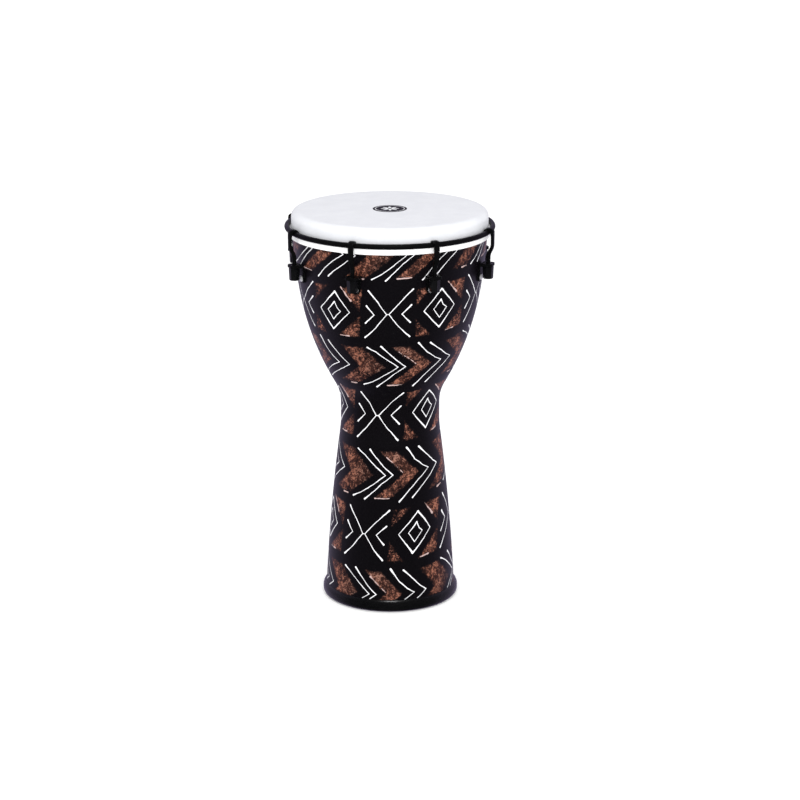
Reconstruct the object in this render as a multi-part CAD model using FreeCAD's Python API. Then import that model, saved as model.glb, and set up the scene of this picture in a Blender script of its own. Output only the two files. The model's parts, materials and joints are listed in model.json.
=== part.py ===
"""Mechanically tuned djembe: goblet shell, synthetic head, steel hoops and eight hook-and-nut tuners.

Row frame: millimetres, Z up, origin at the centre of the foot's underside, the shell's axis along Z.
An azimuth is measured from -Y towards +X. A fitting is drawn in its radial plane, with X outwards,
Y along the rim and Z up, and is then turned to its azimuth.
"""

import FreeCAD, Part
import math
import os

V = FreeCAD.Vector
Z_AXIS = V(0, 0, 1)
ORIGIN = V(0, 0, 0)

# Overall
HEIGHT = 610.0
LUGS = 8
LUG_PITCH = 360.0 / LUGS
FIRST_LUG_AZIMUTH = LUG_PITCH / 2

# Shell. Its side is a chain of tangent arcs. Each knot is (height, lean): the lean is the angle of
# the wall from vertical there, in degrees, positive where the wall opens outwards going up.
WALL = 5.0
FOOT_RADIUS = 99.6
SHELL_BOTTOM = 3.0
SIDE_KNOTS = [
    (20.0, -2.8),    # foot of the stem
    (266.5, -7.6),   # top of the stem, which bulges very slightly
    (285.0, 0.0),    # lower end of the neck
    (310.0, 0.0),    # upper end of the neck
    (342.7, 30.4),   # waist, where the bowl opens
    (487.2, 9.7),    # belly of the bowl
    (580.0, 2.8),    # straight part of the rim
]
RIM_ROUND = 8.6
RIM_INNER_RADIUS = 136.5
RIM_INNER_ROUND = 2.0
RIM_SWELL_BOTTOM = 586.0
RIM_SWELL_TOP = 597.0

# Rubber foot ring, rounded outside, with a groove for the shell's lower edge
FOOT_OUTER_RADIUS = 105.1
FOOT_LOWER_ROUND = 7.0
FOOT_UPPER_ROUND = 10.5
FOOT_UPPER_START = 10.0
FOOT_UPPER_END = 56.0
FOOT_MOUTH = 19.0
FOOT_LIP_RADIUS = 92.6
FOOT_LIP_HEIGHT = 10.0
FOOT_LIP_ROUND = 1.2
FOOT_GAP = 0.1

# Head film, with a rounded shoulder and a collar outside the rim
BADGE_THICK = 0.25
BADGE_RADIUS = 25.8
FILM = 0.7
FILM_TOP = HEIGHT - BADGE_THICK
SEAT_GAP = 0.3
COLLAR_RADIUS = 148.8
SHOULDER = 10.0
COLLAR_BOTTOM = 579.0

# Flesh hoop, the channel that holds the collar's lower edge
FLESH_BOTTOM = 571.4
FLESH_TOP = 582.4
FLESH_INNER = 147.8
FLESH_OUTER = 152.4
FLESH_ROUND = 1.2
FLESH_GAP = 0.1

# Tension ring, a round rod that bears on the flesh hoop
RING_RADIUS = 155.2
RING_ROD = 4.0
RING_HEIGHT = 584.6

# Tuning hook: a forged bar hooked over the ring, then bent in to a threaded rod
CLAW_THROAT = 4.1
CLAW_NOSE = 7.2
CLAW_NOSE_SHIFT = 1.2
CLAW_TIP_ANGLE = 190.0
CLAW_WIDTH = 8.4
CLAW_EDGE = 0.7
CLAW_BOTTOM = 578.0
BAR_WIDTH = 7.6
BAR_THICK = 4.4
BAR_OUTER = 165.2
BAR_CORNER = 6.0
BAR_BOTTOM = 568.0
BEND_BOTTOM = 547.0
ROD = 3.5
ROD_RADIUS = 156.5
ROD_BOTTOM = 518.0
ROD_TIP_CHAMFER = 0.8

# Lug bracket: a strap on the shell's wall, round below its bolt, with an ear that the rod passes
# through. Heights along the strap are measured up the wall from LUG_HEIGHT.
LUG_HEIGHT = 523.0
GASKET = 0.8
PLATE = 2.2
PLATE_HALF = 7.5
NECK_LOW = 4.0
NECK_HIGH = 8.0
PLATE_TOP = 10.0
EAR_HALF = 10.0
EAR_TOP = 538.5
EAR_THICK = 4.5
EAR_END = 164.8
EAR_ROUND = 5.0
EAR_HOLE = 4.0
BEND_INSIDE = 1.0
BRACKET_EDGE = 0.6

# Tuning nut, a long hexagon closed at its lower end
NUT_FLATS = 15.0
NUT_FOOT_FLATS = 13.6
NUT_TOP_GAP = 0.3
NUT_BOTTOM = 515.0
NUT_CORNER = 0.8
NUT_CHAMFER = 0.9
NUT_TOP_CHAMFER_HIGH = 1.1
NUT_FOOT_CHAMFER_HIGH = 1.4
NUT_FLOOR = 2.0
THREAD_GAP = 0.05
NUT_TURN_STEP = 25.0

# Bracket bolts, their backing plates and lock nuts inside the shell
BOLT = 3.0
BOLT_UP = -6.5
BOLT_HOLE = 3.3
BOLT_HEAD = 4.8
BOLT_HEAD_HIGH = 2.8
BOLT_HEAD_EDGE = 1.2
BOLT_HEAD_SHOULDER = (3.4, 2.45)
DRILL_REACH = 40.0
BACKING_HALF = 11.0
BACKING = 3.0
BACKING_CORNER = 3.0
LOCK_NUT_FLATS = 10.0
LOCK_NUT_HIGH = 5.0
BOLT_TAIL = 1.5
FACE_GAP = 0.05


def at(radius, height, side=0.0):
    """A point of the radial plane, or beside it."""
    return V(radius, side, height)


def line(start, end):
    return Part.makeLine(start, end)


def arc(start, middle, end):
    return Part.Arc(start, middle, end).toShape()


def round_arc(centre, radius, start, end):
    """An arc in the radial plane about centre, between two angles in degrees from +X."""
    angles = [math.radians(a) for a in (start, (start + end) / 2, end)]
    points = [centre + V(radius * math.cos(a), 0, radius * math.sin(a)) for a in angles]
    return arc(*points)


def joined(edges):
    """Closes a run of edges with straight lines wherever one doesn't start at the last one's end."""
    closed = []
    for edge, following in zip(edges, edges[1:] + edges[:1]):
        closed.append(edge)
        end = edge.valueAt(edge.LastParameter)
        start = following.valueAt(following.FirstParameter)
        if end.distanceToPoint(start) > 1e-6:
            closed.append(line(end, start))
    return Part.Face(Part.Wire(closed))


def polygon(points):
    return Part.Face(Part.makePolygon(points + points[:1]))


def revolved(face):
    return face.revolve(ORIGIN, Z_AXIS, 360)


def save(shape, node):
    shape.exportStep(os.path.join("parts", node + ".step"))


def side_stretches(inset):
    """The wall's side as (start, middle, end) points, moved inwards by inset, from the foot up."""
    radius = FOOT_RADIUS
    stretches = []
    for (low, low_lean), (high, high_lean) in zip(SIDE_KNOTS, SIDE_KNOTS[1:]):
        start = math.radians(low_lean)
        end = math.radians(high_lean)
        if start == end:
            ends = [at(radius - inset, z) for z in (low, (low + high) / 2, high)]
            stretches.append(ends)
            continue
        bend = (high - low) / (math.sin(end) - math.sin(start))
        centre = (radius + bend * math.cos(start), low - bend * math.sin(start))
        moved = bend + inset
        leans = (start, (start + end) / 2, end)
        stretches.append([
            at(centre[0] - moved * math.cos(a), centre[1] + moved * math.sin(a)) for a in leans
        ])
        radius = centre[0] - bend * math.cos(end)
    return stretches


def side_edges(inset):
    edges = []
    for start, middle, end in side_stretches(inset):
        straight = abs(start.x - end.x) < 1e-6
        edges.append(line(start, end) if straight else arc(start, middle, end))
    return edges


def wall_at(height):
    """Outer radius and lean, in radians, of the bowl's upper arc at a height."""
    low, low_lean = SIDE_KNOTS[-2]
    high, high_lean = SIDE_KNOTS[-1]
    sines = [math.sin(math.radians(a)) for a in (low_lean, high_lean)]
    bend = (high - low) / (sines[1] - sines[0])
    lean = math.asin(sines[0] + (height - low) / bend)
    start = side_stretches(0)[-1][0]
    radius = start.x + bend * (math.cos(math.radians(low_lean)) - math.cos(lean))
    return radius, lean


def filled_side(inset):
    """Everything inside the wall's side at an inset, as one solid."""
    edges = side_edges(inset)
    top = edges[-1].valueAt(edges[-1].LastParameter)
    bottom = edges[0].valueAt(edges[0].FirstParameter)
    edges.append(line(top, at(0, top.z)))
    edges.append(line(at(0, top.z), at(0, bottom.z)))
    return revolved(joined(edges))


def shell_blank():
    outer = side_edges(0)
    inner = side_edges(WALL)
    rim_radius = outer[-1].valueAt(outer[-1].LastParameter).x
    rim_top = FILM_TOP - FILM - SEAT_GAP
    outer_round = round_arc(at(rim_radius - RIM_ROUND, rim_top - RIM_ROUND), RIM_ROUND, 0, 90)
    inner_centre = at(RIM_INNER_RADIUS + RIM_INNER_ROUND, rim_top - RIM_INNER_ROUND)
    inner_round = round_arc(inner_centre, RIM_INNER_ROUND, 90, 180)
    inner_top = inner[-1].valueAt(inner[-1].LastParameter).x
    swell = line(at(RIM_INNER_RADIUS, RIM_SWELL_TOP), at(inner_top, RIM_SWELL_BOTTOM))
    down = [turned_back(e) for e in reversed(inner)]
    edge = line(at(FOOT_RADIUS - WALL, SHELL_BOTTOM), at(FOOT_RADIUS, SHELL_BOTTOM))
    return revolved(joined(outer + [outer_round, inner_round, swell] + down + [edge]))


def turned_back(edge):
    """The same edge, run from its other end."""
    start = edge.valueAt(edge.FirstParameter)
    middle = edge.valueAt((edge.FirstParameter + edge.LastParameter) / 2)
    end = edge.valueAt(edge.LastParameter)
    straight = abs(start.x - end.x) < 1e-6
    return line(end, start) if straight else arc(end, middle, start)


WALL_RADIUS, WALL_LEAN = wall_at(LUG_HEIGHT)
OUTWARDS = V(math.cos(WALL_LEAN), 0, -math.sin(WALL_LEAN))
UPWARDS = V(math.sin(WALL_LEAN), 0, math.cos(WALL_LEAN))


def on_wall(out, up, side=0.0):
    """A point beside the wall at a lug: out from its surface, up along it, sideways."""
    return at(WALL_RADIUS, LUG_HEIGHT, side) + OUTWARDS * out + UPWARDS * up


def to_lug(shape, number):
    """A copy turned from the radial plane of +X to a lug's azimuth."""
    azimuth = FIRST_LUG_AZIMUTH + LUG_PITCH * number
    placed = shape.copy()
    placed.rotate(ORIGIN, Z_AXIS, azimuth - 90)
    return placed


def bolt_drill():
    """The hole that a lug's bolt needs, right through strap, wall and backing plate."""
    return Part.makeCylinder(BOLT_HOLE, DRILL_REACH, on_wall(-DRILL_REACH / 2, BOLT_UP), OUTWARDS)


def foot_ring():
    low_centre = at(FOOT_OUTER_RADIUS - FOOT_LOWER_ROUND, FOOT_LOWER_ROUND)
    low = round_arc(low_centre, FOOT_LOWER_ROUND, -90, 0)
    high_centre = at(FOOT_OUTER_RADIUS - FOOT_UPPER_ROUND, FOOT_UPPER_START)
    high = round_arc(high_centre, FOOT_UPPER_ROUND, 0, FOOT_UPPER_END)
    groove_outer = FOOT_RADIUS + FOOT_GAP
    groove_inner = FOOT_RADIUS - WALL - FOOT_GAP
    groove = [
        line(at(groove_outer, FOOT_MOUTH), at(groove_outer, SHELL_BOTTOM)),
        line(at(groove_outer, SHELL_BOTTOM), at(groove_inner, SHELL_BOTTOM)),
        line(at(groove_inner, SHELL_BOTTOM), at(groove_inner, FOOT_LIP_HEIGHT)),
    ]
    lip_centre = at(FOOT_LIP_RADIUS + FOOT_LIP_ROUND, FOOT_LIP_HEIGHT - FOOT_LIP_ROUND)
    lip = round_arc(lip_centre, FOOT_LIP_ROUND, 90, 180)
    heel_centre = at(FOOT_LIP_RADIUS + FOOT_LIP_ROUND, FOOT_LIP_ROUND)
    heel = round_arc(heel_centre, FOOT_LIP_ROUND, 180, 270)
    return revolved(joined([low, high] + groove + [lip, heel]))


def drum_head():
    centre = at(COLLAR_RADIUS - SHOULDER, FILM_TOP - SHOULDER)
    inner_radius = COLLAR_RADIUS - FILM
    outside = [
        line(at(COLLAR_RADIUS, COLLAR_BOTTOM), at(COLLAR_RADIUS, centre.z)),
        round_arc(centre, SHOULDER, 0, 90),
        line(at(centre.x, FILM_TOP), at(0, FILM_TOP)),
    ]
    inside = [
        line(at(0, FILM_TOP - FILM), at(centre.x, FILM_TOP - FILM)),
        round_arc(centre, SHOULDER - FILM, 90, 0),
        line(at(inner_radius, centre.z), at(inner_radius, COLLAR_BOTTOM)),
    ]
    return revolved(joined(outside + inside))


def head_badge():
    return Part.makeCylinder(BADGE_RADIUS, BADGE_THICK, at(0, FILM_TOP))


def flesh_hoop():
    corner = FLESH_OUTER - FLESH_ROUND
    low_round = round_arc(at(corner, FLESH_BOTTOM + FLESH_ROUND), FLESH_ROUND, -90, 0)
    high_round = round_arc(at(corner, FLESH_TOP - FLESH_ROUND), FLESH_ROUND, 0, 90)
    slot_outer = COLLAR_RADIUS + FLESH_GAP
    slot_inner = COLLAR_RADIUS - FILM - FLESH_GAP
    slot_bottom = COLLAR_BOTTOM - FLESH_GAP
    slot = [
        line(at(slot_outer, FLESH_TOP), at(slot_outer, slot_bottom)),
        line(at(slot_outer, slot_bottom), at(slot_inner, slot_bottom)),
    ]
    inner = line(at(FLESH_INNER, slot_bottom), at(FLESH_INNER, FLESH_BOTTOM))
    return revolved(joined([low_round, high_round] + slot + [inner]))


def tension_ring():
    return Part.makeTorus(RING_RADIUS, RING_ROD, at(0, RING_HEIGHT), Z_AXIS)


def across(face, width):
    """A radial-plane face made solid, centred on the plane."""
    solid = face.extrude(V(0, width, 0))
    solid.translate(V(0, -width / 2, 0))
    return solid


def hook_claw():
    """The claw that wraps the ring from outside to inside, with the top of the bar."""
    ring = at(RING_RADIUS, RING_HEIGHT)
    top = RING_HEIGHT + CLAW_NOSE
    bar_inner = BAR_OUTER - BAR_THICK
    corner = round_arc(at(BAR_OUTER - BAR_CORNER, top - BAR_CORNER), BAR_CORNER, 90, 0)
    nose = round_arc(at(RING_RADIUS + CLAW_NOSE_SHIFT, RING_HEIGHT), CLAW_NOSE, CLAW_TIP_ANGLE, 90)
    throat = round_arc(ring, CLAW_THROAT, 0, CLAW_TIP_ANGLE)
    bar_edge = line(at(BAR_OUTER, CLAW_BOTTOM), at(bar_inner, CLAW_BOTTOM))
    claw = across(joined([nose, corner, bar_edge, throat]), CLAW_WIDTH)
    return claw.makeFillet(CLAW_EDGE, claw.Edges)


def hook_rod():
    """The bar, its bend inwards and the rod, along one path."""
    bar_centre = BAR_OUTER - BAR_THICK / 2
    step = bar_centre - ROD_RADIUS
    drop = BAR_BOTTOM - BEND_BOTTOM
    turn = 2 * math.atan2(step, drop)
    radius = drop / (2 * math.sin(turn))
    degrees = math.degrees(turn)
    upper = round_arc(at(bar_centre - radius, BAR_BOTTOM), radius, 0, -degrees)
    lower = round_arc(at(ROD_RADIUS + radius, BEND_BOTTOM), radius, 180 - degrees, 180)
    path = Part.Wire([upper, lower])
    section = Part.Wire(Part.makeCircle(ROD, at(bar_centre, BAR_BOTTOM), Z_AXIS))
    bend = path.makePipeShell([section], True, False)
    rod_length = BEND_BOTTOM - ROD_BOTTOM - ROD_TIP_CHAMFER
    rod = Part.makeCylinder(ROD, rod_length, at(ROD_RADIUS, ROD_BOTTOM + ROD_TIP_CHAMFER))
    tip = Part.makeCone(ROD - ROD_TIP_CHAMFER, ROD, ROD_TIP_CHAMFER, at(ROD_RADIUS, ROD_BOTTOM))
    bar_high = CLAW_BOTTOM - BAR_BOTTOM
    bar_corner = at(BAR_OUTER - BAR_THICK, BAR_BOTTOM, -BAR_WIDTH / 2)
    bar = Part.makeBox(BAR_THICK, BAR_WIDTH, bar_high, bar_corner)
    return bar.multiFuse([bend, rod, tip])


def tuning_hook():
    return hook_claw().fuse(hook_rod()).removeSplitter()


def plate_outline(out):
    """The bracket's outline, out from the wall: round below the bolt, and wider at the ear."""
    foot_ends = [on_wall(out, BOLT_UP, side) for side in (-PLATE_HALF, PLATE_HALF)]
    foot = arc(foot_ends[0], on_wall(out, BOLT_UP - PLATE_HALF), foot_ends[1])
    corners = [
        (PLATE_HALF, NECK_LOW),
        (EAR_HALF, NECK_HIGH),
        (EAR_HALF, PLATE_TOP),
        (-EAR_HALF, PLATE_TOP),
        (-EAR_HALF, NECK_HIGH),
        (-PLATE_HALF, NECK_LOW),
    ]
    points = [on_wall(out, up, side) for side, up in corners]
    return joined([foot] + [line(start, end) for start, end in zip(points, points[1:])])


def bracket_strip():
    """A strip up the wall that is bent over at the top into the ear."""
    lean = math.degrees(WALL_LEAN)
    outside = BEND_INSIDE + PLATE
    thickest = BEND_INSIDE + EAR_THICK
    # centre of the bend: one inside radius from the plate's front and from the ear's underside
    underside = EAR_TOP - EAR_THICK
    front = on_wall(GASKET + PLATE + BEND_INSIDE, 0)
    up = (underside - BEND_INSIDE - front.z) / UPWARDS.z
    centre = front + UPWARDS * up
    back_start = on_wall(GASKET, 0)
    back_bend = centre - OUTWARDS * outside
    top_bend = at(centre.x, EAR_TOP)
    middle = math.radians((180 - lean + 90) / 2)
    reach = at(math.cos(middle), math.sin(middle)) * ((outside + thickest) / 2)
    edges = [
        line(back_start, back_bend),
        arc(back_bend, centre + reach, top_bend),
        line(top_bend, at(EAR_END, EAR_TOP)),
        line(at(EAR_END, EAR_TOP), at(EAR_END, underside)),
        round_arc(centre, BEND_INSIDE, 90, 180 - lean),
        line(centre - OUTWARDS * BEND_INSIDE, on_wall(GASKET + PLATE, 0)),
    ]
    return across(joined(edges), 2 * EAR_HALF)


def ear_end_edges(shape):
    """The ear's two upright outer corners."""
    return [
        e for e in shape.Edges
        if all(abs(v.X - EAR_END) < 1e-3 for v in e.Vertexes)
        and abs(e.Vertexes[0].Y - e.Vertexes[-1].Y) < 1e-3
    ]


def lug_bracket():
    plate = plate_outline(GASKET).extrude(OUTWARDS * PLATE)
    strip = bracket_strip()
    strip = strip.makeFillet(EAR_ROUND, ear_end_edges(strip))
    bracket = plate.fuse(upper_strip(strip)).removeSplitter()
    bracket = bracket.makeFillet(BRACKET_EDGE, bracket.Edges)
    hole = Part.makeCylinder(EAR_HOLE, 4 * EAR_THICK, at(ROD_RADIUS, EAR_TOP - 2 * EAR_THICK))
    return bracket.cut(hole).cut(bolt_drill())


def upper_strip(strip):
    """The strip's upper end, so that the strap below stays narrower than the ear."""
    size = 8 * EAR_HALF
    low = LUG_HEIGHT + (NECK_HIGH + PLATE_TOP) / 2
    keep = Part.makeBox(size, size, size, at(WALL_RADIUS - size / 2, low, -size / 2))
    return strip.common(keep)


def lug_gasket(outside):
    pad = plate_outline(-WALL / 2).extrude(OUTWARDS * (GASKET + WALL / 2))
    return pad.cut(outside).cut(bolt_drill())


def backing_plate(inside):
    low = BOLT_UP - BACKING_HALF
    high = BOLT_UP + BACKING_HALF
    far = -WALL - BACKING
    corners = [(-BACKING_HALF, low), (BACKING_HALF, low), (BACKING_HALF, high), (-BACKING_HALF, high)]
    face = polygon([on_wall(far, up, side) for side, up in corners])
    block = face.extrude(OUTWARDS * (BACKING + WALL / 2))
    edges = [e for e in block.Edges if is_along(e, OUTWARDS)]
    return block.makeFillet(BACKING_CORNER, edges).common(inside).cut(bolt_drill())


def is_along(edge, direction):
    if len(edge.Vertexes) < 2:
        return False
    run = edge.Vertexes[1].Point - edge.Vertexes[0].Point
    return run.cross(direction).Length < 1e-6 * run.Length


def hexagon(flats, height):
    """An upright hexagon about Z, from its size across flats."""
    corner = flats / math.sqrt(3)
    angles = [math.radians(a) for a in range(0, 360, 60)]
    points = [V(corner * math.cos(a), corner * math.sin(a), height) for a in angles]
    return Part.makePolygon(points + points[:1])


def tuning_nut():
    top = EAR_TOP - EAR_THICK - NUT_TOP_GAP
    low = hexagon(NUT_FOOT_FLATS, NUT_BOTTOM)
    high = hexagon(NUT_FLATS, top)
    body = Part.makeLoft([low, high], True, True)
    corners = [e for e in body.Edges if e.BoundBox.ZLength > NUT_FLATS]
    body = body.makeFillet(NUT_CORNER, corners)
    corner_low = NUT_FOOT_FLATS / math.sqrt(3)
    corner_high = NUT_FLATS / math.sqrt(3)
    outline = [
        at(0, NUT_BOTTOM),
        at(corner_low - NUT_CHAMFER, NUT_BOTTOM),
        at(corner_low + NUT_CHAMFER, NUT_BOTTOM + 2 * NUT_FOOT_CHAMFER_HIGH),
        at(corner_high + NUT_CHAMFER, top - 2 * NUT_TOP_CHAMFER_HIGH),
        at(corner_high - NUT_CHAMFER, top),
        at(0, top),
    ]
    body = body.common(revolved(polygon(outline)))
    bore_bottom = NUT_BOTTOM + NUT_FLOOR
    bore = Part.makeCylinder(ROD + THREAD_GAP, top - bore_bottom, at(0, bore_bottom))
    return body.cut(bore)


def placed_nut(nut, number):
    """Each nut stands at its own angle, as tuned."""
    turned = nut.copy()
    turned.rotate(ORIGIN, Z_AXIS, NUT_TURN_STEP * number)
    turned.translate(at(ROD_RADIUS, 0))
    return to_lug(turned, number)


def bracket_bolt():
    seat = GASKET + PLATE
    tail = -WALL - BACKING - LOCK_NUT_HIGH - BOLT_TAIL
    shank = Part.makeCylinder(BOLT, seat - tail, on_wall(tail, BOLT_UP), OUTWARDS)
    # domed pan head, drawn upright on the origin and then laid on its seat
    edge = at(BOLT_HEAD, BOLT_HEAD_EDGE)
    crown = at(0, BOLT_HEAD_HIGH)
    dome = arc(crown, at(*BOLT_HEAD_SHOULDER), edge)
    rim = line(edge, at(BOLT_HEAD, 0))
    underside = line(at(BOLT_HEAD, 0), ORIGIN)
    head = revolved(joined([dome, rim, underside]))
    head.Placement = FreeCAD.Placement(
        on_wall(seat, BOLT_UP), FreeCAD.Rotation(Z_AXIS, OUTWARDS)
    )
    return shank.fuse(head)


def lock_nut():
    body = Part.Face(hexagon(LOCK_NUT_FLATS, 0)).extrude(V(0, 0, LOCK_NUT_HIGH))
    body = body.cut(Part.makeCylinder(BOLT + FACE_GAP, LOCK_NUT_HIGH))
    body.Placement = FreeCAD.Placement(
        on_wall(-WALL - BACKING, BOLT_UP), FreeCAD.Rotation(Z_AXIS, OUTWARDS * -1)
    )
    return body


def every_lug(shape):
    """One group of separate solids: the shape at every lug."""
    return Part.makeCompound([to_lug(shape, k) for k in range(LUGS)])


def main():
    os.makedirs("parts", exist_ok=True)
    shell = shell_blank().cut(every_lug(bolt_drill()))
    save(shell, "shell")
    save(foot_ring(), "foot_ring")
    save(drum_head(), "drum_head")
    save(head_badge(), "head_badge")
    save(flesh_hoop(), "flesh_hoop")
    save(tension_ring(), "tension_ring")

    hook = tuning_hook()
    bracket = lug_bracket()
    gasket = lug_gasket(filled_side(-FACE_GAP))
    backing = backing_plate(filled_side(WALL + FACE_GAP))
    nut = tuning_nut()
    for k in range(LUGS):
        save(to_lug(hook, k), "tuning_hook_%d" % (k + 1))
        save(to_lug(bracket, k), "lug_bracket_%d" % (k + 1))
        save(to_lug(gasket, k), "lug_gasket_%d" % (k + 1))
        save(to_lug(backing, k), "backing_plate_%d" % (k + 1))
        save(placed_nut(nut, k), "tuning_nut_%d" % (k + 1))

    save(every_lug(bracket_bolt()), "bracket_bolts")
    save(every_lug(lock_nut()), "bolt_nuts")


main()
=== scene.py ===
import json
import math

import bpy
from mathutils import Matrix, Vector
from mathutils.bvhtree import BVHTree


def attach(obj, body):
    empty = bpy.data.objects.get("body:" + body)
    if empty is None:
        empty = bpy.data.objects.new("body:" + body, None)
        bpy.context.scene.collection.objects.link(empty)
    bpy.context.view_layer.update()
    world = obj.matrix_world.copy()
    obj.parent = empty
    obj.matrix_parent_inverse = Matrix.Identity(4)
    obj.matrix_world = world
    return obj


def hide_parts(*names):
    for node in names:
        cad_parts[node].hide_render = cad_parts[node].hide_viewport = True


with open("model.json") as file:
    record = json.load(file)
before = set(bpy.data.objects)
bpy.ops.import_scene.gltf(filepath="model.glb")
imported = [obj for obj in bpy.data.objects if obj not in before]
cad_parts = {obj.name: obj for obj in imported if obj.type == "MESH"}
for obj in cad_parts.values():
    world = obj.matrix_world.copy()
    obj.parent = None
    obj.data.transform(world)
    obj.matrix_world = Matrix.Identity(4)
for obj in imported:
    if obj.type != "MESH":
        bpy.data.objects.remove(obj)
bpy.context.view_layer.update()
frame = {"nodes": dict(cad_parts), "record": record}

MM = 0.001
LUGS = 8
LUG_STEP = 360 / LUGS
FIRST_LUG_AZIMUTH = LUG_STEP / 2

# The camera: metres, degrees and, for the lens and its film, millimetres
CAMERA_DISTANCE = 3.5
CAMERA_HEIGHT = 1.3194
CAMERA_AZIMUTH = -2.1
CAMERA_PITCH = -16.09
CAMERA_TURN = -0.25
CAMERA_LENS = 106.37
CAMERA_FILM = 36.0


# ---------------------------------------------------------------- shader nodes

class Field:
    """A value that varies over a surface; arithmetic on it adds Math nodes to its node tree."""

    def __init__(self, tree, socket):
        self.tree = tree
        self.socket = socket

    def math(self, operation, *others, clamp=False):
        return math_node(self.tree, operation, (self,) + others, clamp)

    def __add__(self, other):
        return self.math("ADD", other)

    def __sub__(self, other):
        return self.math("SUBTRACT", other)

    def __rsub__(self, other):
        return math_node(self.tree, "SUBTRACT", (other, self))

    def __mul__(self, other):
        return self.math("MULTIPLY", other)

    def __truediv__(self, other):
        return self.math("DIVIDE", other)

    def __abs__(self):
        return self.math("ABSOLUTE")

    __radd__ = __add__
    __rmul__ = __mul__

    def clamped(self):
        """The field kept between 0 and 1."""
        return self.math("ADD", 0.0, clamp=True)

    def least(self, other):
        return self.math("MINIMUM", other)

    def most(self, other):
        return self.math("MAXIMUM", other)

    def wrapped(self, low, high):
        return self.math("WRAP", high, low)

    def edge(self, softness):
        """1 where the field is positive and 0 where it is negative, with a soft step between."""
        return self.math("MULTIPLY_ADD", 1 / softness, 0.5, clamp=True)


def wire(tree, target, value):
    """Feeds a node's input from a field or socket, or sets it to a plain value."""
    if isinstance(value, Field):
        value = value.socket
    if isinstance(value, bpy.types.NodeSocket):
        tree.links.new(value, target)
    else:
        target.default_value = value


def math_node(tree, operation, values, clamp=False):
    """A Math node's output as a Field; its values are Fields, sockets or plain numbers."""
    node = tree.nodes.new("ShaderNodeMath")
    node.operation = operation
    node.use_clamp = clamp
    for target, value in zip(node.inputs, values):
        wire(tree, target, value)
    return Field(tree, node.outputs[0])


def vector_node(tree, operation, first, second=None, scale=None):
    """A Vector Math node's output: a socket for a vector, or a Field for a number."""
    node = tree.nodes.new("ShaderNodeVectorMath")
    node.operation = operation
    wire(tree, node.inputs[0], first)
    if second is not None:
        wire(tree, node.inputs[1], second)
    if scale is not None:
        wire(tree, node.inputs["Scale"], scale)
    if operation in ("DOT_PRODUCT", "LENGTH"):
        return Field(tree, node.outputs["Value"])
    return node.outputs["Vector"]


def add(tree, kind, settings=(), **inputs):
    """A new node with its settings and inputs; an input's name has _ for a space."""
    node = tree.nodes.new("ShaderNode" + kind)
    for name, value in dict(settings).items():
        setattr(node, name, value)
    for name, value in inputs.items():
        wire(tree, node.inputs[name.replace("_", " ")], value)
    return node


def noise(tree, position, scale, detail=2.0, roughness=0.5, colour=False):
    """A noise Field from 0 to 1 at a scale in features per metre, or its colour as a vector socket."""
    node = add(tree, "TexNoise", Vector=position, Scale=scale, Detail=detail, Roughness=roughness)
    return node.outputs["Color"] if colour else Field(tree, node.outputs[0])


def combined(tree, x, y):
    """A point of the print as a vector socket."""
    return add(tree, "CombineXYZ", X=x, Y=y).outputs[0]


def mixed(tree, amount, first, second):
    """Two colours, mixed by a field."""
    node = add(tree, "Mix", {"data_type": "RGBA"})
    wire(tree, node.inputs["Factor"], amount)
    wire(tree, node.inputs[6], first)
    wire(tree, node.inputs[7], second)
    return node.outputs[2]


def new_material(name):
    """A material with a Principled shader, as (material, tree, shader, object coordinates)."""
    material = bpy.data.materials.new(name)
    material.use_nodes = True
    tree = material.node_tree
    tree.nodes.clear()
    shader = add(tree, "BsdfPrincipled")
    output = add(tree, "OutputMaterial")
    tree.links.new(shader.outputs[0], output.inputs["Surface"])
    position = add(tree, "TexCoord").outputs["Object"]
    return material, tree, shader, position


def set_bump(tree, shader, height, strength, distance):
    """Roughens the surface's normals by a height field."""
    bump = add(tree, "Bump", Height=height, Strength=strength, Distance=distance)
    tree.links.new(bump.outputs[0], shader.inputs["Normal"])


# ---------------------------------------------------------------- the shell's print

# The printed sheet, in millimetres: X to the right round the drum, Y up the wall from PRINT_START.
PRINT_START = 10.0
PRINT_MIDDLE = 301.0
# The lengths up the wall are sampled this often, up to just under the shell's rim
CURVE_TOP = 600.0
CURVE_STEP = 20.0
# The sheet's middle faces the camera
SHEET_TURN = -math.radians(CAMERA_AZIMUTH)
# The columns' shift sideways: its value, slope and bend at the print's middle
LEAN = (-18.2, 0.1035, -0.0001005)
# The rows' shift, their stretch away from the middle, their climb sideways and their bow at the sides
ROW_SHIFT = 0.4
ROW_STRETCH = 0.0000434
ROW_SLOPE = 0.035
ROW_BOW = 12.0
# Chevron rows and diamond rows take turns. A row is a line of alike cells.
ROW = 92.5
FIRST_ROW = 21.0
REPEAT = 167.0
CHEVRON_CELL_START = 10.0
CHEVRON_SLANT = 1.2
DIAMOND_CELL_START = -40.5
DIAMOND = (80.8, 0.4)
CROSS_SLANT = 0.052

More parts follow.
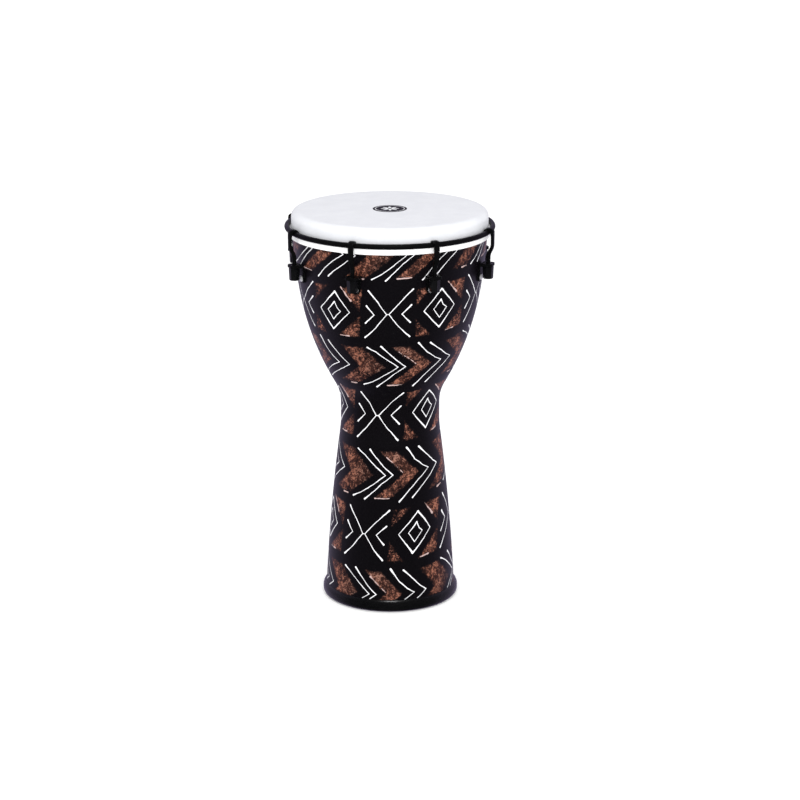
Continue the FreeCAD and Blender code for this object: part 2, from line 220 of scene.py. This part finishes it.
# Paint strokes of the chevron row, as runs of points. The narrow ones are mirrored about Y = 0.
NARROW_CHEVRONS = [
    [(22, 0), (3.5, 15), (-14, 28.7), (-27.3, 36.3)],
    [(33.3, 0), (17.8, 13), (6.5, 25), (-6.7, 38.5)],
]
WIDE_CHEVRONS = [
    [(93.2, 0), (80, 8), (66, 20.5), (49.5, 40.5)],
    [(93.2, 0), (76.5, -11.3), (61.5, -25.5), (48.2, -41)],
    [(113, 0), (101.3, 8.8), (85.5, 23), (69.6, 37.3)],
    [(113, 0), (93.5, -15.5), (81.3, -25.3), (68.5, -37.7)],
]
CHEVRON_DASHES = [
    [(31.5, -35.4), (10, -35.8)],
    [(127.5, -36), (118, -36)],
]
FAINT_DASHES = [
    [(48.5, 3), (36, 14.5), (20, 28)],
]
# Strokes of the diamond row: the cross and the outer rhomb, mirrored about both their axes, and the
# inner rhomb.
CROSS = [
    [(0, 0), (1.8, 0), (17, 21), (33.1, 38.7)],
    [(20.3, 0), (33.3, 14.3)],
]
OUTER_DIAMOND = [
    [(26.9, 0), (0, 31.5)],
]
INNER_DIAMOND = [
    [(0, 14.7), (5, 5.5), (11.8, 0), (5.5, -7.5), (0, -14.8), (-11.4, 0), (0, 14.7)],
]
DIAMOND_DASHES = [
    [(91.5, 41), (109, 20.5)],
    [(94, -39.8), (109, -39)],
]
# Brown areas: convex, with their corners anticlockwise.
BANDS = [
    [(74, 0), (35.5, 35.3), (10.5, 36.7), (48.5, 1), (52, -2), (71, -2.5)],
    [(74, 0), (71, 3), (51, 3), (48.5, 1), (10.3, -34.5), (34, -34)],
]
ARROWS = [
    [(169.5, 0), (132.5, 36), (97.5, 34.5), (130, 0), (133, -3), (166, -3)],
    [(169.5, 0), (166, 3), (133, 3), (130, 0), (99, -33.5), (131.5, -33)],
]
TRIANGLES = [
    [(42, -11), (43, -40), (66.5, -41)],
    [(41.5, 13.3), (66.5, 40.3), (40.5, 38.3)],
    [(125, -4), (92, -40), (126, -38.5)],
    [(91.5, 40.5), (124, 3.5), (125.5, 39)],
]
# Where the brown is at its lightest: (X, Y, how far the light patch reaches).
BAND_LIGHTS = [(58, -8, 20), (30, 28, 24), (24, -26, 12)]
ARROW_LIGHTS = [(137, 0, 20), (124, 22, 15), (118, -20, 12)]
TRIANGLE_LIGHTS = [(108, -33, 26), (113, 32, 24), (53, -35, 8), (53, 33, 8)]

# The brush: a stroke's least half width, and how much it varies, swells at its end and blurs. A dash is
# broken where its half width falls below 0, and a faint one is narrower still.
STROKE_LEAST = 0.18
STROKE_VARIES = 0.8
STROKE_SWELL = 0.6
STROKE_SOFTNESS = 0.35
DASH_LEAST = -0.85
DASH_VARIES = 3.0
DASH_SOFTNESS = 0.5
FAINT_BY = 0.45
# How far the hand wanders
SLOW_WANDER = 2.4
QUICK_WANDER = 0.6
# Browns that turn beige: the arrows past this X, and the bands above this Y, over these distances
ARROW_BEIGE = (148.0, 30.0)
BAND_BEIGE = (12.0, 40.0)
BAND_BEIGE_SHARE = 0.6


def wall_lengths(shell):
    """(height, length up the outside of the wall) from the print's start, in millimetres."""
    tree = BVHTree.FromObject(shell, bpy.context.evaluated_depsgraph_get())
    rows = []
    height = PRINT_START
    length = 0.0
    last = None
    while height < CURVE_TOP:
        hit = tree.ray_cast(Vector((1.0, 0.0, height * MM)), Vector((-1.0, 0.0, 0.0)))[0]
        if last is not None:
            length += (hit - last).length / MM
        rows.append((height, length))
        last = hit
        height += CURVE_STEP
    return rows


def length_up_wall(tree, height, shell):
    """The field of lengths up the wall for a field of heights, both in millimetres."""
    curve = add(tree, "FloatCurve", Value=height / CURVE_TOP)
    points = curve.mapping.curves[0].points
    rows = [(h / CURVE_TOP, s / CURVE_TOP) for h, s in wall_lengths(shell)]
    points[0].location = rows[0]
    points[1].location = rows[-1]
    for row in rows[1:-1]:
        points.new(*row)
    curve.mapping.update()
    return Field(tree, curve.outputs[0]) * CURVE_TOP


def print_position(tree, position, shell):
    """Where a point of the shell is on its printed sheet: X round the drum and Y up it.

    Two alike sheets meet at the drum's sides. A sheet isn't quite square to the drum: its columns
    lean and curve, and its rows climb a little.
    """
    separate = add(tree, "SeparateXYZ", Vector=vector_node(tree, "SCALE", position, scale=1 / MM))
    x, y, z = [Field(tree, out) for out in separate.outputs]
    radius = (x * x + y * y).math("SQRT")
    azimuth = (x.math("ARCTAN2", 0.0 - y) + SHEET_TURN).wrapped(-math.pi / 2, math.pi / 2)
    across = azimuth * radius
    up = length_up_wall(tree, z, shell)
    middle = up - PRINT_MIDDLE
    squared = middle * middle
    lean = squared * LEAN[2] + middle * LEAN[1] + LEAN[0]
    bow = (1.0 - azimuth.math("COSINE")) * ROW_BOW
    return across - lean, up + squared * ROW_STRETCH + ROW_SHIFT - across * ROW_SLOPE - bow


def light_patches(tree, point, patches):
    """1 in the middle of the nearest patch, falling to 0 at its edge and beyond."""
    highest = None
    for x, y, reach in patches:
        distance = vector_node(tree, "LENGTH", vector_node(tree, "SUBTRACT", point, (x, y, 0.0)))
        height = 1.0 - distance / reach
        highest = height if highest is None else highest.most(height)
    return highest.clamped()


def run_distance(tree, point, runs):
    """Distance from a point to the nearest of some runs of straight strokes, less where they thicken."""
    nearest = None
    for run in runs:
        for number, (start, end) in enumerate(zip(run, run[1:])):
            along = Vector(end) - Vector(start)
            offset = vector_node(tree, "SUBTRACT", point, (*start, 0.0))
            share = vector_node(tree, "DOT_PRODUCT", offset, (*(along / along.length_squared), 0.0))
            share = share.clamped()
            reach = vector_node(tree, "SCALE", (*along, 0.0), scale=share)
            distance = vector_node(tree, "LENGTH", vector_node(tree, "SUBTRACT", offset, reach))
            if number == len(run) - 2:
                distance = distance - share * share * STROKE_SWELL
            nearest = distance if nearest is None else nearest.least(distance)
    return nearest


def area_depth(tree, point, areas):
    """How far a point is inside the nearest of some convex areas, negative outside them."""
    deepest = None
    for corners in areas:
        depth = None
        for start, end in zip(corners, corners[1:] + corners[:1]):
            along = (Vector(end) - Vector(start)).normalized()
            inwards = Vector((-along.y, along.x))
            side = vector_node(tree, "DOT_PRODUCT", point, (*inwards, 0.0))
            side = side - inwards.dot(Vector(start))
            depth = side if depth is None else depth.least(side)
        deepest = depth if deepest is None else deepest.most(depth)
    return deepest


def wobbled(tree, position, across, up):
    """The print's coordinates, moved about by a millimetre or so: strokes then look drawn by hand."""
    slow = add(tree, "SeparateXYZ", Vector=noise(tree, position, 38.0, 1.0, colour=True))
    quick = add(tree, "SeparateXYZ", Vector=noise(tree, position, 190.0, 0.0, colour=True))
    moved = []
    for start, first, second in zip((across, up), slow.outputs, quick.outputs):
        slow_move = (Field(tree, first) - 0.5) * SLOW_WANDER
        quick_move = (Field(tree, second) - 0.5) * QUICK_WANDER
        moved.append(start + slow_move + quick_move)
    return moved


def cell_coordinates(across, up):
    """(X, Y) within a cell, for the chevron rows and for the diamond rows."""
    chevron_y = (up - FIRST_ROW).wrapped(-ROW, ROW)
    slant = abs(chevron_y) * CHEVRON_SLANT
    chevron_x = (across + slant).wrapped(CHEVRON_CELL_START, CHEVRON_CELL_START + REPEAT) - slant
    diamond_y = (up - FIRST_ROW - ROW).wrapped(-ROW, ROW)
    diamond_x = across.wrapped(DIAMOND_CELL_START, DIAMOND_CELL_START + REPEAT)
    return (chevron_x, chevron_y), (diamond_x, diamond_y)


def white_depth(tree, position, chevron_at, diamond_at):
    """How far a point is inside the white strokes."""
    chevron_x, chevron_y = chevron_at
    diamond_x, diamond_y = diamond_at
    folded = combined(tree, chevron_x, abs(chevron_y))
    cross_x = abs(diamond_x + DIAMOND[1] - abs(diamond_y) * CROSS_SLANT)
    crossed = combined(tree, cross_x, abs(diamond_y))
    from_middle = (diamond_x - DIAMOND[0], diamond_y - DIAMOND[1])
    centred = combined(tree, *from_middle)
    centred_fold = combined(tree, *[abs(part) for part in from_middle])
    distance = run_distance(tree, combined(tree, *chevron_at), WIDE_CHEVRONS)
    distance = distance.least(run_distance(tree, folded, NARROW_CHEVRONS))
    distance = distance.least(run_distance(tree, crossed, CROSS))
    distance = distance.least(run_distance(tree, centred_fold, OUTER_DIAMOND))
    distance = distance.least(run_distance(tree, centred, INNER_DIAMOND))
    return noise(tree, position, 70.0) * STROKE_VARIES + STROKE_LEAST - distance


def pale_depth(tree, position, chevron, diamond):
    """How far a point is inside the pale dashes, whose broken width varies a lot."""
    dashes = run_distance(tree, chevron, CHEVRON_DASHES)
    dashes = dashes.least(run_distance(tree, chevron, FAINT_DASHES) + FAINT_BY)
    dashes = dashes.least(run_distance(tree, diamond, DIAMOND_DASHES))
    return noise(tree, position, 160.0) * DASH_VARIES + DASH_LEAST - dashes


def past(field, threshold):
    """1 where a field is well past a threshold's value, easing from 0 over its softness."""
    value, softness = threshold
    return (field - value).edge(softness)


def printed_masks(tree, position, shell):
    """The print's fields: depths inside white strokes and pale dashes, and the brown areas' own fields.

    A brown area has three: its depth, how light it is, and how far it turns beige.
    """
    across, up = wobbled(tree, position, *print_position(tree, position, shell))
    chevron_at, diamond_at = cell_coordinates(across, up)
    chevron = combined(tree, *chevron_at)
    diamond = combined(tree, *diamond_at)
    white = white_depth(tree, position, chevron_at, diamond_at)
    pale = pale_depth(tree, position, chevron, diamond)
    tips = past(chevron_at[0], ARROW_BEIGE)
    tops = past(chevron_at[1], BAND_BEIGE) * BAND_BEIGE_SHARE
    bands = (area_depth(tree, chevron, BANDS), light_patches(tree, chevron, BAND_LIGHTS), tops)
    arrows = (area_depth(tree, chevron, ARROWS), light_patches(tree, chevron, ARROW_LIGHTS), tips)
    triangles = (area_depth(tree, diamond, TRIANGLES), light_patches(tree, diamond, TRIANGLE_LIGHTS), 0.0)
    return white, pale, (bands, arrows, triangles)


# Colours of the print, and of the plain plastic inside
BLACK_INK = (0.0032, 0.0023, 0.0037, 1.0)
DARK_BROWN = (0.030, 0.009, 0.006, 1.0)
BROWN = (0.110, 0.038, 0.025, 1.0)
SALMON = (0.31, 0.115, 0.068, 1.0)
BEIGE = (0.23, 0.135, 0.105, 1.0)
PALE_INK = (0.50, 0.36, 0.34, 1.0)
WHITE_INK = (0.84, 0.84, 0.86, 1.0)
INSIDE_BLACK = (0.010, 0.010, 0.011, 1.0)
# How well each kind of brown area covers the ground: bands, arrows and triangles
BROWN_COVER = (0.25, 0.12, -0.05)
# How strongly each noise shows in the browns, where a brown turns from dark to mid to salmon, and how
# ragged, inset and soft its edge is
SPECK = 4.2
CLOUD = 1.4
GRAIN = 4.6
BLOTCH = 3.2
BROWN_FROM = 0.18
SALMON_FROM = 0.60
RAGGED_EDGE = 6.0
BROWN_INSET = 0.3
BROWN_FADE = 2.4
# The shell's plastic
INSIDE_ROUGHNESS = 0.62
SMOOTHER_OUTSIDE = 0.28


def brown_ink(tree, position, area, cover):
    """A dabbed brown area: (mask, colour). The ground shows through as specks, more where cover is low."""
    depth, light, beige = area
    ragged = (noise(tree, position, 260.0, 3.0, 0.65) - 0.5) * RAGGED_EDGE
    inside = (depth + ragged - BROWN_INSET).edge(BROWN_FADE)
    speck = noise(tree, position, 430.0, 3.0, 0.7) - 0.5
    cloud = noise(tree, position, 48.0) - 0.5
    shown = (speck * SPECK + cloud * CLOUD + light * 0.6 + cover).edge(0.5)
    grain = noise(tree, position, 500.0, 2.0, 0.7) - 0.5
    blotch = noise(tree, position, 170.0) - 0.5
    texture = grain * GRAIN + blotch * BLOTCH + light * 0.45
    ink = mixed(tree, (texture - BROWN_FROM).edge(0.5), DARK_BROWN, BROWN)
    lightest = mixed(tree, beige, SALMON, BEIGE)
    return inside * shown, mixed(tree, (texture - SALMON_FROM).edge(0.5), ink, lightest)


def printed_shell(shell):
    """Black satin plastic, printed and smoother outside, and plain and rougher inside."""
    material, tree, shader, position = new_material("printed_shell")
    white, pale, areas = printed_masks(tree, position, shell)
    colour = BLACK_INK
    for area, cover in zip(areas, BROWN_COVER):
        mask, ink = brown_ink(tree, position, area, cover)
        colour = mixed(tree, mask, colour, ink)
    colour = mixed(tree, pale.edge(DASH_SOFTNESS), colour, PALE_INK)
    colour = mixed(tree, white.edge(STROKE_SOFTNESS), colour, WHITE_INK)
    normal = add(tree, "TexCoord").outputs["Normal"]
    flat = vector_node(tree, "MULTIPLY", position, (1.0, 1.0, 0.0))
    outside = vector_node(tree, "DOT_PRODUCT", normal, vector_node(tree, "NORMALIZE", flat))
    outside = outside.edge(0.1)
    colour = mixed(tree, outside, INSIDE_BLACK, colour)
    wire(tree, shader.inputs["Base Color"], colour)
    grain = noise(tree, position, 1500.0)
    wire(tree, shader.inputs["Roughness"], INSIDE_ROUGHNESS - outside * SMOOTHER_OUTSIDE + grain * 0.06)
    shader.inputs["Specular IOR Level"].default_value = 0.35
    set_bump(tree, shader, noise(tree, position, 260.0), 0.15, 0.0004)
    return material


# ---------------------------------------------------------------- plain materials

# Each finish's two tones, which its noise mixes
FILM_TONES = ((0.58, 0.59, 0.62, 1), (0.80, 0.81, 0.83, 1))
LACQUER_TONES = ((0.84, 0.84, 0.84, 1), (0.92, 0.92, 0.92, 1))
STEEL_COAT_TONES = ((0.0018, 0.0018, 0.002, 1), (0.0035, 0.0035, 0.004, 1))
NUT_COAT_TONES = ((0.002, 0.002, 0.0025, 1), (0.005, 0.005, 0.006, 1))
RUBBER_TONES = ((0.002, 0.002, 0.0025, 1), (0.004, 0.004, 0.0045, 1))
ZINC_TONES = ((0.42, 0.43, 0.46, 1), (0.62, 0.62, 0.60, 1))
NICKEL_TONES = ((0.62, 0.62, 0.64, 1), (0.80, 0.80, 0.82, 1))
VINYL_TONES = ((0.003, 0.003, 0.004, 1), (0.006, 0.006, 0.007, 1))
BADGE_INK = (0.66, 0.67, 0.69, 1)
# The badge's mark, in millimetres
BADGE_RING = 21.8
BADGE_RING_HALF = 0.6
STAR_MIDDLE = 10.0
STAR_REACH = 4.2
STAR_HUB = 3.0
STAR_RAYS = 8


def head_film():
    """Coated white drum film: a faintly mottled, finely pebbled surface."""
    material, tree, shader, position = new_material("head_film")
    mottle = noise(tree, position, 38.0, 4.0, 0.6)
    pebble = noise(tree, position, 900.0, 3.0, 0.6)
    tone = (mottle * 0.5 + pebble * 0.3).clamped()
    wire(tree, shader.inputs["Base Color"], mixed(tree, tone, *FILM_TONES))
    wire(tree, shader.inputs["Roughness"], pebble * 0.15 + 0.48)
    set_bump(tree, shader, pebble * 0.6 + mottle * 0.4, 0.35, 0.0004)
    return material


def white_lacquer():
    """Glossy white paint on the flesh hoop."""
    material, tree, shader, position = new_material("hoop_white")
    grain = noise(tree, position, 700.0, 3.0)
    wire(tree, shader.inputs["Base Color"], mixed(tree, grain, *LACQUER_TONES))
    wire(tree, shader.inputs["Roughness"], grain * 0.1 + 0.28)
    set_bump(tree, shader, grain, 0.1, 0.0002)
    return material


def powder_coat(name, tones, roughness, index):
    """Black paint over steel, with an orange-peel surface. A low index makes it a dull one."""
    material, tree, shader, position = new_material(name)
    peel = noise(tree, position, 1300.0)
    patch = noise(tree, position, 90.0, 3.0)
    wire(tree, shader.inputs["Base Color"], mixed(tree, patch, *tones))
    wire(tree, shader.inputs["Roughness"], patch * 0.12 + peel * 0.08 + roughness)
    shader.inputs["IOR"].default_value = index
    set_bump(tree, shader, peel, 0.3, 0.0002)
    return material


def moulded_rubber(name, roughness):
    """Black rubber, finely grained."""
    material, tree, shader, position = new_material(name)
    grain = noise(tree, position, 1600.0)
    patch = noise(tree, position, 30.0, 3.0)
    wire(tree, shader.inputs["Base Color"], mixed(tree, patch, *RUBBER_TONES))
    wire(tree, shader.inputs["Roughness"], patch * 0.08 + roughness)
    shader.inputs["Specular IOR Level"].default_value = 0.65
    set_bump(tree, shader, grain, 0.12, 0.0002)
    return material


def zinc_plate():
    """Dull, spangled plating on the hidden hardware."""
    material, tree, shader, position = new_material("inner_steel")
    shader.inputs["Metallic"].default_value = 1.0
    patch = noise(tree, position, 160.0, 4.0, 0.65)
    wire(tree, shader.inputs["Base Color"], mixed(tree, patch, *ZINC_TONES))
    wire(tree, shader.inputs["Roughness"], patch * 0.3 + 0.25)
    set_bump(tree, shader, patch, 0.15, 0.0002)
    return material


def nickel_plate():
    """Bright plating, only partly metallic, so that it stays pale in dark surroundings."""
    material, tree, shader, position = new_material("bolt_steel")
    shader.inputs["Metallic"].default_value = 0.6
    haze = noise(tree, position, 300.0, 3.0)
    wire(tree, shader.inputs["Base Color"], mixed(tree, haze, *NICKEL_TONES))
    wire(tree, shader.inputs["Roughness"], haze * 0.15 + 0.18)
    return material


def badge_vinyl():
    """A black printed disc with a plain ring and an eight-rayed star in the middle."""
    material, tree, shader, position = new_material("badge")
    separate = add(tree, "SeparateXYZ", Vector=vector_node(tree, "SCALE", position, scale=1 / MM))
    x, y = [Field(tree, out) for out in separate.outputs[:2]]
    radius = (x * x + y * y).math("SQRT")
    ring = BADGE_RING_HALF - abs(radius - BADGE_RING)
    wave = (x.math("ARCTAN2", 0.0 - y) * STAR_RAYS).math("COSINE")
    star = wave * STAR_REACH + STAR_MIDDLE - radius
    outside_hub = radius - STAR_HUB
    mark = ring.most(star.least(outside_hub)).edge(0.3)
    grain = noise(tree, position, 800.0)
    black = mixed(tree, grain, *VINYL_TONES)
    wire(tree, shader.inputs["Base Color"], mixed(tree, mark, black, BADGE_INK))
    wire(tree, shader.inputs["Roughness"], grain * 0.1 + 0.45)
    shader.inputs["Specular IOR Level"].default_value = 0.1
    return material


def paint_nodes():
    """Gives every CAD node its material, by the record's slot name."""
    nodes = frame["nodes"]
    finishes = {
        "printed_shell": printed_shell(nodes["shell"]),
        "head_film": head_film(),
        "hoop_white": white_lacquer(),
        "badge": badge_vinyl(),
        "black_steel": powder_coat("black_steel", STEEL_COAT_TONES, roughness=0.3, index=1.2),
        "nut_steel": powder_coat("nut_steel", NUT_COAT_TONES, roughness=0.24, index=1.5),
        "bolt_steel": nickel_plate(),
        "inner_steel": zinc_plate(),
        "gasket_rubber": moulded_rubber("gasket_rubber", 0.6),
        "foot_rubber": moulded_rubber("foot_rubber", 0.2),
    }
    slots = {row["node"]: row["material_slot"] for row in frame["record"]["subparts"]}
    for name, node in nodes.items():
        for slot in node.material_slots:
            slot.material = finishes[slots[name]]
    return finishes


# ---------------------------------------------------------------- tuning hooks

# A hook's places are (distance from the drum's axis, height) in the plane through the axis and the lug.
RING = (155.2, 584.6)
# The claw reaches over the tension ring: its inner and outer radii, and where its tip is
CLAW_THROAT = 4.1
CLAW_NOSE = 7.2
CLAW_NOSE_SHIFT = 1.2
CLAW_TIP_ANGLE = 190.0
CLAW_HALF = 4.2
CLAW_STEPS = 14
# The tip's small end face: how far it stands out, its share of the thickness, and how much it narrows
TIP_OUT = 0.35
TIP_SHARE = 0.6
TIP_NARROWS = 0.4
# The flat bar, whose half width is given at some heights
BAR_OUTER = 165.2
BAR_THICK = 4.4
BAR_HALF = 3.8
BAR_CORNER = 6.0
CORNER_STEPS = 12
BAR_HALVES = [(581.0, CLAW_HALF), (579.0, CLAW_HALF), (577.0, 4.0), (575.0, BAR_HALF), (570.0, BAR_HALF)]
# The bend inwards, from the bar to the rod
BAR_BOTTOM = 568.0
BEND_BOTTOM = 547.0
BEND_STEPS = 20
# The rod, and the thread cut into it
ROD = 3.5
ROD_RADIUS = 156.5
ROD_BOTTOM = 518.0
THREAD_TOP = 545.0
THREAD_PITCH = 1.0
THREAD_DEEP = 0.6
THREAD_STEPS = 6
# The thread's cut rises this steeply from this level, which leaves a flat at its root and its crest
THREAD_SLOPE = 1.3
THREAD_FLAT = 0.15
# Corners round a section, and how square a section is: a superellipse's power
AROUND = 32
BOXY = 6.0
ROUND = 2.0


def polar(centre, radius, degrees):
    """The point at a radius and an angle about a centre."""
    angle = math.radians(degrees)
    return Vector((centre[0] + radius * math.cos(angle), centre[1] + radius * math.sin(angle)))


def eased(share):
    """A share from 0 to 1, made to start and stop gently."""
    return share * share * (3 - 2 * share)


def between(first, last, share):
    return first + (last - first) * share


def claw_stations():
    """Stations from the claw's tip over the ring to the bar.

    A station is (inner point, outer point, half width, squareness).
    """
    stations = []
    nose = (RING[0] + CLAW_NOSE_SHIFT, RING[1])
    for step in range(CLAW_STEPS + 1):
        angle = between(CLAW_TIP_ANGLE, 90.0, step / CLAW_STEPS)
        inner = polar(RING, CLAW_THROAT, angle)
        outer = polar(nose, CLAW_NOSE, angle)
        stations.append((inner, outer, CLAW_HALF, BOXY))
    corner = (BAR_OUTER - BAR_CORNER, RING[1] + CLAW_NOSE - BAR_CORNER)
    for step in range(1, CORNER_STEPS + 1):
        angle = between(90.0, 0.0, step / CORNER_STEPS)
        inner = polar(RING, CLAW_THROAT, angle)
        outer = polar(corner, BAR_CORNER, angle)
        stations.append((inner, outer, CLAW_HALF, BOXY))
    return stations


def bar_stations():
    """Down the bar, whose width narrows below the claw."""
    inner = BAR_OUTER - BAR_THICK
    stations = []
    for height, half in BAR_HALVES:
        stations.append((Vector((inner, height)), Vector((BAR_OUTER, height)), half, BOXY))
    return stations


def bend_place(share):
    """(centre, outward direction) at a share of the way down the bend, which is two equal arcs."""
    middle = BAR_OUTER - BAR_THICK / 2
    drop = BAR_BOTTOM - BEND_BOTTOM
    turn = 2 * math.atan2(middle - ROD_RADIUS, drop)
    radius = drop / (2 * math.sin(turn))
    degrees = math.degrees(turn)
    if share <= 0.5:
        angle = between(0.0, -degrees, share * 2)
        return polar((middle - radius, BAR_BOTTOM), radius, angle), polar((0, 0), 1.0, angle)
    angle = between(180 - degrees, 180.0, share * 2 - 1)
    return polar((ROD_RADIUS + radius, BEND_BOTTOM), radius, angle), -polar((0, 0), 1.0, angle)


def bend_stations():
    """The bar's bend inwards, where it also turns from a bar into a round rod."""
    stations = []
    for step in range(BEND_STEPS + 1):
        share = step / BEND_STEPS
        centre, outwards = bend_place(share)
        thick = between(BAR_THICK / 2, ROD, eased(share))
        half = between(BAR_HALF, ROD, eased(share))
        square = between(BOXY, ROUND, eased(share))
        stations.append((centre - outwards * thick, centre + outwards * thick, half, square))
    return stations


def station_ring(inner, outer, half, square):
    """One ring of corners round a station: a superellipse between its inner and outer points."""
    middle = (inner + outer) / 2
    reach = (outer - inner) / 2
    corners = []
    for number in range(AROUND):
        angle = 2 * math.pi * number / AROUND
        cosine = math.cos(angle)
        sine = math.sin(angle)
        out = math.copysign(abs(cosine) ** (2 / square), cosine)
        side = math.copysign(abs(sine) ** (2 / square), sine)
        point = middle + reach * out
        corners.append(Vector((point.x, side * half, point.y)) * MM)
    return corners


def thread_ring(height, taper):
    """One ring of a right-hand thread: its crest climbs one pitch for each anticlockwise turn."""
    corners = []
    for number in range(AROUND):
        angle = 2 * math.pi * number / AROUND
        turn = height / THREAD_PITCH - angle / (2 * math.pi)
        wave = abs(2 * (turn % 1.0) - 1.0)
        depth = THREAD_DEEP * min(1.0, max(0.0, wave * THREAD_SLOPE - THREAD_FLAT)) * taper
        radius = ROD - depth
        corners.append(Vector((ROD_RADIUS + radius * math.cos(angle), radius * math.sin(angle), height)) * MM)
    return corners


def tip_station(first):
    """The claw's small end face, just beyond its first station."""
    inner, outer, half, square = first
    beyond = polar((0, 0), TIP_OUT, CLAW_TIP_ANGLE + 90.0)
    middle = (inner + outer) / 2
    ends = [between(middle, point, TIP_SHARE) + beyond for point in (inner, outer)]
    return (*ends, half - TIP_NARROWS, square)


def hook_rings():
    """All the rings of a hook, from the claw's tip to the rod's end."""
    claw = claw_stations()
    stations = [tip_station(claw[0])] + claw + bar_stations() + bend_stations()
    rings = [station_ring(*station) for station in stations]
    rows = round((THREAD_TOP - ROD_BOTTOM) / THREAD_PITCH * THREAD_STEPS)
    for row in range(rows + 1):
        height = THREAD_TOP - row * THREAD_PITCH / THREAD_STEPS
        taper = min(1.0, (THREAD_TOP - height) / THREAD_PITCH)
        rings.append(thread_ring(height, taper))
    return rings


def mesh_piece(name, points, faces, material):
    """A smooth-shaded object of points and faces."""
    mesh = bpy.data.meshes.new(name)
    mesh.from_pydata(points, [], faces)
    mesh.materials.append(material)
    mesh.shade_smooth()
    mesh.update()
    piece = bpy.data.objects.new(name, mesh)
    bpy.context.scene.collection.objects.link(piece)
    return piece


def tube_faces(ring_count):
    """Faces between neighbouring rings, and one across each end."""
    faces = [tuple(reversed(range(AROUND)))]
    for ring in range(ring_count - 1):
        base = ring * AROUND
        for number in range(AROUND):
            near = (base + number, base + (number + 1) % AROUND)
            faces.append((*near, near[1] + AROUND, near[0] + AROUND))
    last = (ring_count - 1) * AROUND
    faces.append(tuple(range(last, last + AROUND)))
    return faces


def forged_hooks(material):
    """The eight hooks, which replace the plain ones and ride with the head."""
    rings = hook_rings()
    faces = tube_faces(len(rings))
    for number in range(LUGS):
        azimuth = FIRST_LUG_AZIMUTH + LUG_STEP * number
        turn = Matrix.Rotation(math.radians(azimuth - 90), 3, "Z")
        points = [turn @ corner for ring in rings for corner in ring]
        piece = mesh_piece(f"forged_hook_{number + 1}", points, faces, material)
        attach(piece, "head_assembly")
        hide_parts(f"tuning_hook_{number + 1}")


# ---------------------------------------------------------------- studio

WORLD = (1.12, 1.12, 1.12, 1)
DARK = (0, 0, 0, 1)
PANEL_COLOUR = (0.42, 0.36, 0.54, 1)
FLOOR_HALF = 14.0
FLOOR_TONES = ((0.96, 0.96, 0.96, 1), (0.97, 0.97, 0.97, 1))
FLOOR_GLOW = 0.1


def make_floor():
    """A wide white floor that gives off a little light and isn't seen in reflections."""
    mesh = bpy.data.meshes.new("floor")
    half = FLOOR_HALF
    corners = [(-half, -half, 0), (half, -half, 0), (half, half, 0), (-half, half, 0)]
    mesh.from_pydata(corners, [], [(0, 1, 2, 3)])
    floor = bpy.data.objects.new("floor", mesh)
    bpy.context.scene.collection.objects.link(floor)
    material, tree, shader, position = new_material("floor")
    tone = noise(tree, position, 2.0)
    wire(tree, shader.inputs["Base Color"], mixed(tree, tone, *FLOOR_TONES))
    shader.inputs["Roughness"].default_value = 0.8
    shader.inputs["Specular IOR Level"].default_value = 0.1
    shader.inputs["Emission Color"].default_value = (1, 1, 1, 1)
    shader.inputs["Emission Strength"].default_value = FLOOR_GLOW
    mesh.materials.append(material)
    floor.visible_glossy = False


def area_light(name, place, target, size, power, in_gloss=True):
    """A soft box at a place, turned to a target, and seen in reflections or not."""
    data = bpy.data.lights.new(name, "AREA")
    data.shape = "RECTANGLE"
    data.size, data.size_y = size
    data.energy = power
    light = bpy.data.objects.new(name, data)
    light.location = place
    light.rotation_euler = (Vector(target) - Vector(place)).to_track_quat("-Z", "Y").to_euler()
    light.visible_glossy = in_gloss
    bpy.context.scene.collection.objects.link(light)


def make_world():
    """White to the eye and as a light; to reflections, dark with a tinted panel behind and beside."""
    world = bpy.data.worlds.new("studio")
    world.use_nodes = True
    tree = world.node_tree
    direction = add(tree, "SeparateXYZ", Vector=add(tree, "TexCoord").outputs["Generated"])
    x, y, z = [Field(tree, out) for out in direction.outputs]
    # 1 straight behind the drum, 0 at its sides and -1 in front
    behind = y / (x * x + y * y).math("SQRT")
    panels = (behind + 0.3).edge(0.7) * (behind * 0.7 + 0.3).clamped()
    # The panel fades out towards the poles
    panels = panels * (0.95 - abs(z + 0.15)).edge(0.6)
    in_gloss = add(tree, "LightPath").outputs["Is Glossy Ray"]
    seen = mixed(tree, in_gloss, WORLD, mixed(tree, panels, DARK, PANEL_COLOUR))
    tree.links.new(seen, tree.nodes["Background"].inputs["Color"])
    bpy.context.scene.world = world


def make_lights():
    """A small box above the front, and a wide fill near the camera that reflections don't show."""
    top = (0.0, -0.95, 2.45)
    area_light("top", top, target=(0.0, 0.0, 0.2), size=(0.25, 0.25), power=8.0)
    front = (0.0, -3.0, 1.2)
    area_light("front", front, target=(0.0, 0.0, 0.45), size=(2.0, 1.6), power=44.0, in_gloss=False)


def make_camera():
    """A camera in front of the drum, slightly to its left, looking down at it."""
    data = bpy.data.cameras.new("camera")
    data.lens = CAMERA_LENS
    data.sensor_width = CAMERA_FILM
    camera = bpy.data.objects.new("camera", data)
    azimuth = math.radians(CAMERA_AZIMUTH)
    camera.location = (
        CAMERA_DISTANCE * math.sin(azimuth),
        -CAMERA_DISTANCE * math.cos(azimuth),
        CAMERA_HEIGHT,
    )
    camera.rotation_euler = (math.radians(90 + CAMERA_PITCH), 0, azimuth + math.radians(CAMERA_TURN))
    bpy.context.scene.collection.objects.link(camera)
    bpy.context.scene.camera = camera


make_camera()
made_finishes = paint_nodes()
forged_hooks(made_finishes["black_steel"])
make_floor()
make_world()
make_lights()
bpy.context.scene.view_settings.view_transform = "Standard"
